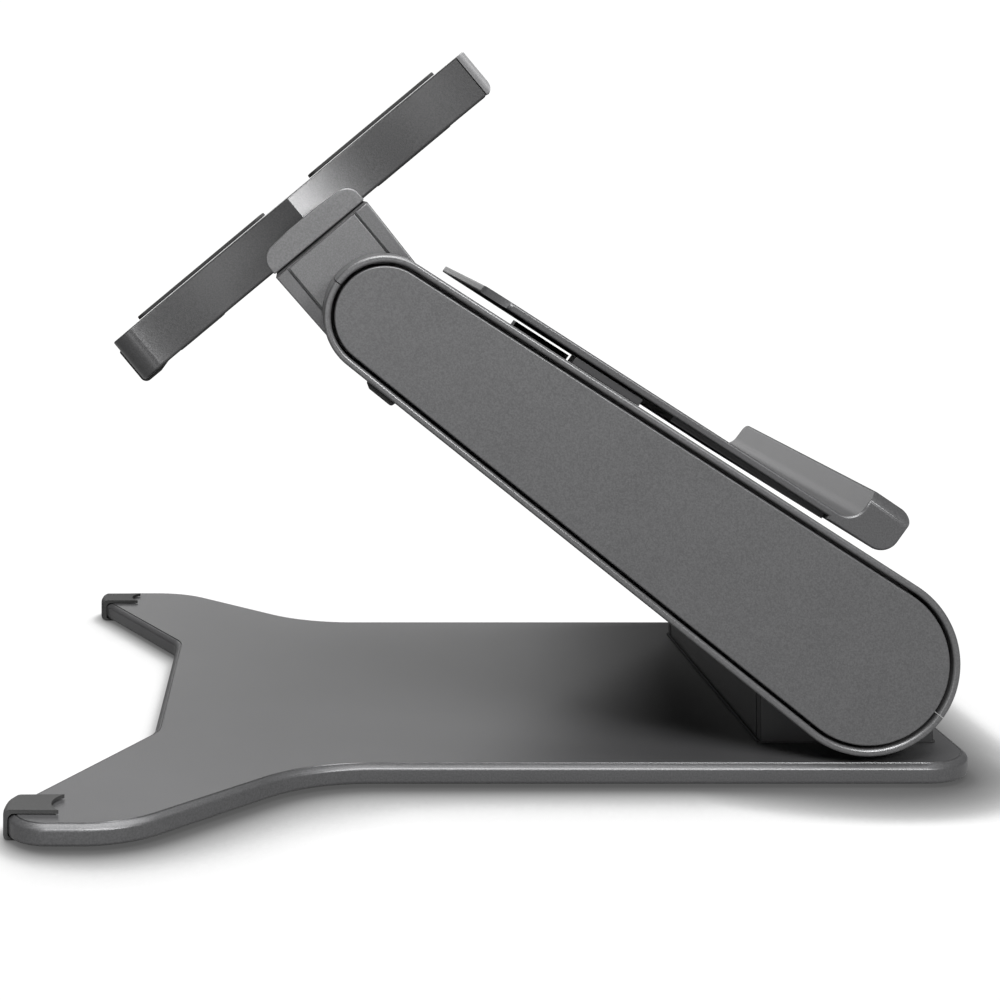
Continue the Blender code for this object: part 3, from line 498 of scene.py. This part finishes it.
def build_arm_shells():
    """Rear and front shell, split by a fine parting line, with a pocket on each cheek."""
    half = ARM_HIGH.z
    inner = CHEEK_INNER
    mouth = arm_side(RIM - RIM_ROUNDING)
    near_pocket = [(inset, -height) for inset, height in reversed(pocket_rings(half))]
    for name, low_b, high_b in (("rear", PARTING, 60.0), ("front", -60.0, -PARTING)):
        mesh = solid(arm_side(0.0), edge(-half, half, RIM_ROUNDING, RIM_ROUNDING), ARM)
        for rings in (pocket_rings(half), near_pocket):
            mesh = carved(mesh, solid(mouth, rings, ARM))
        for low_a, high_a in ((-60.0, OPEN_LOW), (OPEN_HIGH, 300.0)):
            way = box_outline(low_a, high_a, -60.0, 60.0)
            mesh = carved(mesh, solid(way, [(0.0, -inner), (0.0, inner)], ARM))
        keep = box_outline(-60.0, 300.0, low_b, high_b)
        mesh = carved(mesh, solid(keep, [(0.0, -200.0), (0.0, 200.0)], ARM), "INTERSECT")
        piece(f"arm_{name}_skin", mesh, "arm", COAT_SHELL, "painted_alloy", f"arm_{name}_shell")


def build_arm_covers():
    """Side covers that sit in the shells' pockets behind an even seam."""
    for side in SIDES:
        node = "arm_cover_" + side
        low, high = span(node, ARM)
        mesh = solid(arm_side(COVER_INSET), edge(low.z, high.z, 0.75, 0.75), ARM)
        piece("arm_side_cover_" + side, mesh, "arm", COAT_COVER, "painted_alloy", node)


def lever_side():
    """Side view of the lever: a long thin sheet that ends in a thick upturned lip."""
    low, high = span("release_lever", ARM)
    top = high.x
    lip_far = low.x
    outer = LEVER_GAP + LEVER_SHEET
    return counter_clockwise(rounded([
        (top, back_of_arm(top) + LEVER_GAP, 0.9), (top, back_of_arm(top) + outer, 0.9),
        (LIP_NEAR, back_of_arm(LIP_NEAR) + outer, 8.0), (LIP_NEAR - 0.4, LIP_TOP, 1.6),
        (lip_far, LIP_TOP + 0.6, 5.0), (lip_far, back_of_arm(lip_far) + LIP_FOOT_GAP, 8.5),
        (LIP_FOOT, back_of_arm(LIP_FOOT) + LIP_FOOT_GAP, 0.0),
        (LIP_FOOT, back_of_arm(LIP_FOOT) + LEVER_GAP, 0.0)]))


def build_lever():
    """Lever trimmed to rounded upper corners in plan and a rounded lip seen end on."""
    low, high = span("release_lever", ARM)
    half = high.z
    mesh = solid(lever_side(), edge(-half, half, 1.0, 1.0), ARM)
    plan = rounded([
        (high.x + 0.1, -half - 0.1, 16.0), (high.x + 0.1, half + 0.1, 16.0),
        (low.x - 1.0, half + 0.1, 3.0), (low.x - 1.0, -half - 0.1, 3.0)])
    upright = ARM @ Matrix.Rotation(QUARTER_TURN, 4, "X")
    mesh = carved(
        mesh, solid(counter_clockwise(plan), [(0.0, -90.0), (0.0, 90.0)], upright), "INTERSECT")
    crest = high.y + 0.5
    face = [
        (-half - 0.1, -10.0, 0.0), (half + 0.1, -10.0, 0.0), (half + 0.1, crest, 8.0),
        (-half - 0.1, crest, 8.0)]
    facing = ARM @ Matrix.Rotation(-QUARTER_TURN, 4, "Y")
    turned = counter_clockwise([(y, b) for y, b in rounded(face)])
    mesh = carved(mesh, solid(turned, [(0.0, -400.0), (0.0, 400.0)], facing), "INTERSECT")
    piece("lever_sheet", mesh, "lever", COAT_LEVER, "painted_alloy", "release_lever")


def strip_on_back(low, high, bottom, top):
    """Side view of a strip between two heights over the arm's back."""
    return counter_clockwise([
        (low, back_of_arm(low) + bottom), (high, back_of_arm(high) + bottom),
        (high, back_of_arm(high) + top), (low, back_of_arm(low) + top)])


def build_lever_strips():
    """Dark liner under the lever's lower half, and the two mounts that carry the lever."""
    low, high = span("lever_liner", ARM)
    outline = strip_on_back(low.x, high.x, LINER_BOTTOM, LEVER_GAP + 0.1)
    mesh = solid(outline, edge(low.z, high.z, 0.3, 0.3, steps=3), ARM)
    piece("lever_strip", mesh, "lever", DARK_PLASTIC, "dark_plastic", "lever_liner")
    for side in SIDES:
        node = "lever_mount_" + side
        low, high = span(node, ARM)
        outline = strip_on_back(low.x, high.x, 0.1, MOUNT_TOP)
        mesh = solid(outline, edge(low.z, high.z, 0.4, 0.4), ARM)
        piece("lever_block_" + side, mesh, "arm", DARK_PLASTIC, "dark_plastic", node)


def build_rest_bumpers():
    """Low rubber pads under the cheeks, square to the arm's sloping front edge."""
    section = rounded([(-7.0, 0.2, 0.0), (-6.2, -2.1, 1.4), (6.2, -2.1, 1.4), (7.0, 0.2, 0.0)])
    tilt = Matrix.Rotation(QUARTER_TURN - LEAN, 2)
    for side in SIDES:
        node = "rest_bumper_" + side
        low, high = span(node, ARM)
        a = (low.x + high.x) / 2.0
        middle = Vector((a, -back_of_arm(a)))
        outline = [tuple(middle + tilt @ Vector(point)) for point in section]
        mesh = solid(counter_clockwise(outline), edge(low.z, high.z, 0.8, 0.8), ARM)
        piece("arm_rest_pad_" + side, mesh, "arm", RUBBER, "rubber", node)


# ---------------------------------------------------------------- head

NECK_LOW, NECK_HIGH = span("neck_housing", HEAD)
RECESS_DEPTH = 2.2
CAP_CROWN = 1.2


def neck_side():
    """Side view of the neck: a barrel round the upper axis, squared off at the plate."""
    barrel = arc(0.0, 0.0, -NECK_LOW.x, QUARTER_TURN, 3 * QUARTER_TURN)
    top, half = NECK_HIGH.x, NECK_HIGH.y
    return counter_clockwise(barrel + [(top, -half), (top, half)])


def build_neck():
    """Neck with a recess on each side, and the panels that sit in them."""
    half = NECK_HIGH.z
    mesh = solid(neck_side(), edge(-half, half, 0.8, 0.8), HEAD)
    for side, sign in SIDES.items():
        node = "neck_side_panel_" + side
        low, high = span(node, HEAD)
        recess = box_outline(low.x - 0.7, NECK_HIGH.x + 2.0, low.y - 0.8, high.y + 0.8)
        near, far = sorted((sign * (half - RECESS_DEPTH), sign * (half + 3.0)))
        mesh = carved(mesh, solid(recess, [(0.0, near), (0.0, far)], HEAD))
        panel = box_outline(low.x, NECK_HIGH.x - 0.6, low.y + 0.35, high.y - 0.35)
        panel_mesh = solid(panel, edge(low.z, high.z, 0.35, 0.35, steps=3), HEAD)
        piece("neck_panel_" + side, panel_mesh, "head", COAT_HEAD_TRIM, "painted_alloy", node)
    piece("neck_body", mesh, "head", COAT_NECK, "painted_alloy", "neck_housing")


def build_head_caps():
    """Caps over the neck's upper end, with a softly crowned front."""
    for side in SIDES:
        node = "head_cap_" + side
        low, high = span(node, HEAD)
        half = high.y
        back, shoulder = low.x + 0.5, high.x - CAP_CROWN
        outline = counter_clockwise(rounded([
            (back, -half, 1.0), (shoulder, -half, 7.0), (high.x, -half / 3.0, 40.0),
            (high.x, half / 3.0, 40.0), (shoulder, half, 7.0), (back, half, 1.0)]))
        mesh = solid(outline, edge(low.z, high.z, 0.7, 0.7), HEAD)
        piece("head_end_cap_" + side, mesh, "head", COAT_HEAD_TRIM, "painted_alloy", node)


# ---------------------------------------------------------------- mount plate

PLATE_LOW, PLATE_HIGH = span("mount_plate", PLATE)
END_LOW, END_HIGH = span("plate_end_cap", PLATE)
PLATE_WAIST = 8.0
PLATE_STEP = 4.0
SCREW_SQUARE = 50.0
SCREW_HOLE_RADIUS = 2.2
SPINDLE_BORE_RADIUS = 8.4
END_CORNER = 5.0


def plate_half_width(t):
    """Half-width of the plate: a shallow scallop on each side of the middle."""
    half_length = END_HIGH.x
    half_chord = half_length / 2.0
    radius = (half_chord ** 2 + PLATE_WAIST ** 2) / (2.0 * PLATE_WAIST)
    along = abs(t) - half_chord
    depth = math.sqrt(radius ** 2 - along ** 2) - (radius - PLATE_WAIST)
    return PLATE_HIGH.y - depth


def plate_plan(low, high, low_corner, high_corner):
    """Plan of a stretch of the plate, with the scallops' crease exactly at its middle."""
    first, last = math.ceil(low / PLATE_STEP), math.floor(high / PLATE_STEP)
    inner = [PLATE_STEP * i for i in range(first, last + 1)]
    clear = 1.3
    keep = [t for t in inner if low + clear * low_corner < t < high - clear * high_corner]
    right = [(low, -plate_half_width(low), low_corner)]
    right += [(t, -plate_half_width(t), 0.0) for t in keep]
    right += [(high, -plate_half_width(high), high_corner)]
    left = [(t, -y, r) for t, y, r in reversed(right)]
    return counter_clockwise(rounded(right + left))


def build_mount_plate():
    """Plate with screw holes and spindle bore, and the plastic cap on its upper end."""
    back, front = PLATE_LOW.z, PLATE_HIGH.z
    plan = plate_plan(PLATE_LOW.x, PLATE_HIGH.x, 9.0, 0.0)
    mesh = solid(plan, edge(back, front, 1.3, 0.8), PLATE)
    for t in (-SCREW_SQUARE, SCREW_SQUARE):
        for y in (-SCREW_SQUARE, SCREW_SQUARE):
            hole = arc(t, y, SCREW_HOLE_RADIUS, 0.0, 2.0 * HALF_TURN)[:-1]
            mesh = carved(mesh, solid(hole, [(0.0, back - 5.0), (0.0, front + 5.0)], PLATE))
    bore = arc(0.0, 0.0, SPINDLE_BORE_RADIUS, 0.0, 2.0 * HALF_TURN)[:-1]
    mesh = carved(mesh, solid(bore, [(0.0, back - 5.0), (0.0, back + 15.0)], PLATE))
    piece("plate_body", mesh, "plate", COAT_PLATE, "painted_alloy", "mount_plate", crease=25.0)
    cap = plate_plan(END_LOW.x + 0.2, END_HIGH.x + 0.8, 0.0, 3.0)
    mesh = solid(cap, edge(back, front, 1.0, 0.6), PLATE)
    side_view = rounded([
        (back - 0.2, END_LOW.x - 5.0, 0.0), (front + 0.2, END_LOW.x - 5.0, 0.0),
        (front + 0.2, END_HIGH.x, 0.9), (back - 0.2, END_HIGH.x, END_CORNER)])
    mesh = carved(mesh, solid(side_view, [(0.0, -90.0), (0.0, 90.0)], HEAD), "INTERSECT")
    piece("plate_top_cap", mesh, "plate", END_PLASTIC, "dark_plastic", "plate_end_cap")


def build_pads():
    """Cushions on both faces of the plate, and the L-shaped bumper on its lower end."""
    for node in ("front_pad_lower", "front_pad_upper", "rear_pad_lower", "rear_pad_upper"):
        low, high = span(node, PLATE)
        outline = box_outline(low.x, high.x, low.y, high.y, 4.0)
        mesh = solid(outline, edge(low.z, high.z, 0.1, 0.6, steps=3), PLATE)
        piece(node.replace("pad", "cushion"), mesh, "plate", RUBBER, "rubber", node)
    low, high = span("plate_end_bumper", HEAD)
    outline = rounded([
        (low.x, low.y, 3.0), (high.x, low.y, 0.9), (high.x, low.y + 1.6, 0.0),
        (low.x + 1.6, low.y + 1.6, 1.2), (low.x + 1.6, high.y, 0.0), (low.x, high.y, 0.9)])
    mesh = solid(counter_clockwise(outline), edge(low.z, high.z, 0.8, 0.8), HEAD)
    piece("plate_lower_bumper", mesh, "plate", RUBBER, "rubber", "plate_end_bumper")


build_base()
build_toe_bumpers()
build_hinge_block()
build_arm_shells()
build_arm_covers()
build_lever()
build_lever_strips()
build_rest_bumpers()
build_neck()
build_head_caps()
build_mount_plate()
build_pads()


# ---------------------------------------------------------------- floor, light, camera

# Painted shadow on the floor: how far its occlusion test reaches, which way the test leans, and the tone curve
# from open share to brightness.
SHADOW_REACH = 0.05
SHADOW_LEAN = (-0.45, 0.45, 0.77)
SHADOW_TONES = ((0.0, 0.08), (0.3, 0.12), (0.55, 0.18), (0.85, 0.52), (0.95, 0.93), (1.0, 1.0))
EYE_FROM_UPPER_AXIS = Vector((-0.03857, -0.8665, 0.05303))
EYE_LENS = 63.9
EYE_SHIFT = {"shift_x": 0.207, "shift_y": -0.310}
LIGHTS = {
    "top_soft": ((1.6, 1.2), 40.0, (-0.15, 0.1, 1.7), (-0.15, 0.0, 0.0)),
    "back_left": ((1.5, 0.7), 4.6, (-0.5, 2.1, 0.72), (-0.25, 0.0, 0.02)),
    "front_high": ((1.0, 0.7), 52.0, (-0.1, -1.3, 1.8), (-0.1, 0.0, 0.15)),
    "front_left_low": ((0.6, 0.4), 3.2, (-0.6, -1.4, 0.25), (-0.15, 0.0, 0.15)),
    "head_accent": ((0.3, 0.3), 12.0, (0.35, -1.15, 0.75), (-0.24, -0.08, 0.25)),
}


def build_floor():
    """White floor that the camera sees glowing, with a painted shadow that darkens it softly where the stand comes
    close to it.
    """
    mesh = bpy.data.meshes.new("floor")
    reach = 12.0
    mesh.from_pydata(
        [(-reach, -reach, 0.0), (reach, -reach, 0.0), (reach, reach, 0.0), (-reach, reach, 0.0)],
        [], [(0, 1, 2, 3)])
    made = Wiring("pale_floor")
    # Painted shadow: an occlusion test, leaned to one side and bent by a tone curve, sets how brightly the floor
    # glows for the camera.
    near = made.add("ShaderNodeAmbientOcclusion", samples=48)
    near.inputs["Distance"].default_value = SHADOW_REACH
    lean = made.add("ShaderNodeCombineXYZ")
    for axis, amount in zip("XYZ", SHADOW_LEAN):
        lean.inputs[axis].default_value = amount
    made.link(lean.outputs[0], near.inputs["Normal"])
    curve = made.add("ShaderNodeFloatCurve")
    made.link(near.outputs["AO"], curve.inputs["Value"])
    line = curve.mapping.curves[0]
    line.points[0].location = SHADOW_TONES[0]
    line.points[1].location = SHADOW_TONES[-1]
    for open_share, brightness in SHADOW_TONES[1:-1]:
        line.points.new(open_share, brightness)
    curve.mapping.update()
    lit = made.ramp(curve.outputs["Value"], 0.0, 1.06, 0.0, 1.0)
    mottle = made.ramp(made.noise(3.0), 0.99, 1.01)
    shade = made.add("ShaderNodeMath", operation="MULTIPLY")
    made.link(lit, shade.inputs[0])
    made.link(mottle, shade.inputs[1])
    glow = made.add("ShaderNodeEmission")
    made.link(shade.outputs[0], glow.inputs["Strength"])
    made.shader.inputs["Base Color"].default_value = (0.22, 0.22, 0.22, 1.0)
    made.shader.inputs["Roughness"].default_value = 0.9
    # The camera sees the glowing floor with its painted shadow; every other ray sees a dark grey floor.
    path = made.add("ShaderNodeLightPath")
    whole = made.add("ShaderNodeMixShader")
    made.link(path.outputs["Is Camera Ray"], whole.inputs[0])
    made.link(made.shader.outputs[0], whole.inputs[1])
    made.link(glow.outputs[0], whole.inputs[2])
    made.link(whole.outputs[0], made.tree.nodes["Material Output"].inputs["Surface"])
    mesh.materials.append(made.material)
    floor = bpy.data.objects.new("floor", mesh)
    bpy.context.scene.collection.objects.link(floor)


def build_world():
    """Even white room that the camera sees brighter than the stand does."""
    world = bpy.data.worlds.new("studio")
    bpy.context.scene.world = world
    world.use_nodes = True
    tree = world.node_tree
    background = tree.nodes["Background"]
    background.inputs["Color"].default_value = (1.0, 1.0, 1.0, 1.0)
    background.inputs["Strength"].default_value = 0.12
    path = tree.nodes.new("ShaderNodeLightPath")
    bright = tree.nodes.new("ShaderNodeBackground")
    bright.inputs["Strength"].default_value = 1.3
    mix = tree.nodes.new("ShaderNodeMixShader")
    tree.links.new(path.outputs["Is Camera Ray"], mix.inputs[0])
    tree.links.new(background.outputs[0], mix.inputs[1])
    tree.links.new(bright.outputs[0], mix.inputs[2])
    tree.links.new(mix.outputs[0], tree.nodes["World Output"].inputs["Surface"])


def add_light(name, size, power, position, target):
    """Soft rectangular light that the camera doesn't see."""
    data = bpy.data.lights.new(name, "AREA")
    data.shape = "RECTANGLE"
    data.size = size[0]
    data.size_y = size[1]
    data.energy = power
    made = bpy.data.objects.new(name, data)
    made.location = position
    made.rotation_mode = "QUATERNION"
    made.rotation_quaternion = (Vector(target) - Vector(position)).to_track_quat("-Z", "Y")
    bpy.context.scene.collection.objects.link(made)
    made.visible_camera = False


def build_camera():
    """Level camera at the product shot's eye point. Its lens shift applies only there."""
    eye = UPPER_AXIS + EYE_FROM_UPPER_AXIS
    spot = bpy.data.objects.new("photo_eye", None)
    spot.location = eye
    bpy.context.scene.collection.objects.link(spot)
    data = bpy.data.cameras.new("camera")
    data.sensor_width = 36.0
    data.lens = EYE_LENS
    camera = bpy.data.objects.new("camera", data)
    camera.location = eye
    camera.rotation_euler = (QUARTER_TURN, 0.0, 0.0)
    bpy.context.scene.collection.objects.link(camera)
    bpy.context.scene.camera = camera
    for channel, amount in EYE_SHIFT.items():
        driver = data.driver_add(channel).driver
        away = driver.variables.new()
        away.name = "away"
        away.type = "LOC_DIFF"
        away.targets[0].id = camera
        away.targets[1].id = spot
        driver.expression = f"{amount} if away < 0.001 else 0"


build_floor()
build_world()
for light, settings in LIGHTS.items():
    add_light(light, *settings)
build_camera()
bpy.context.scene.view_settings.view_transform = "Standard"
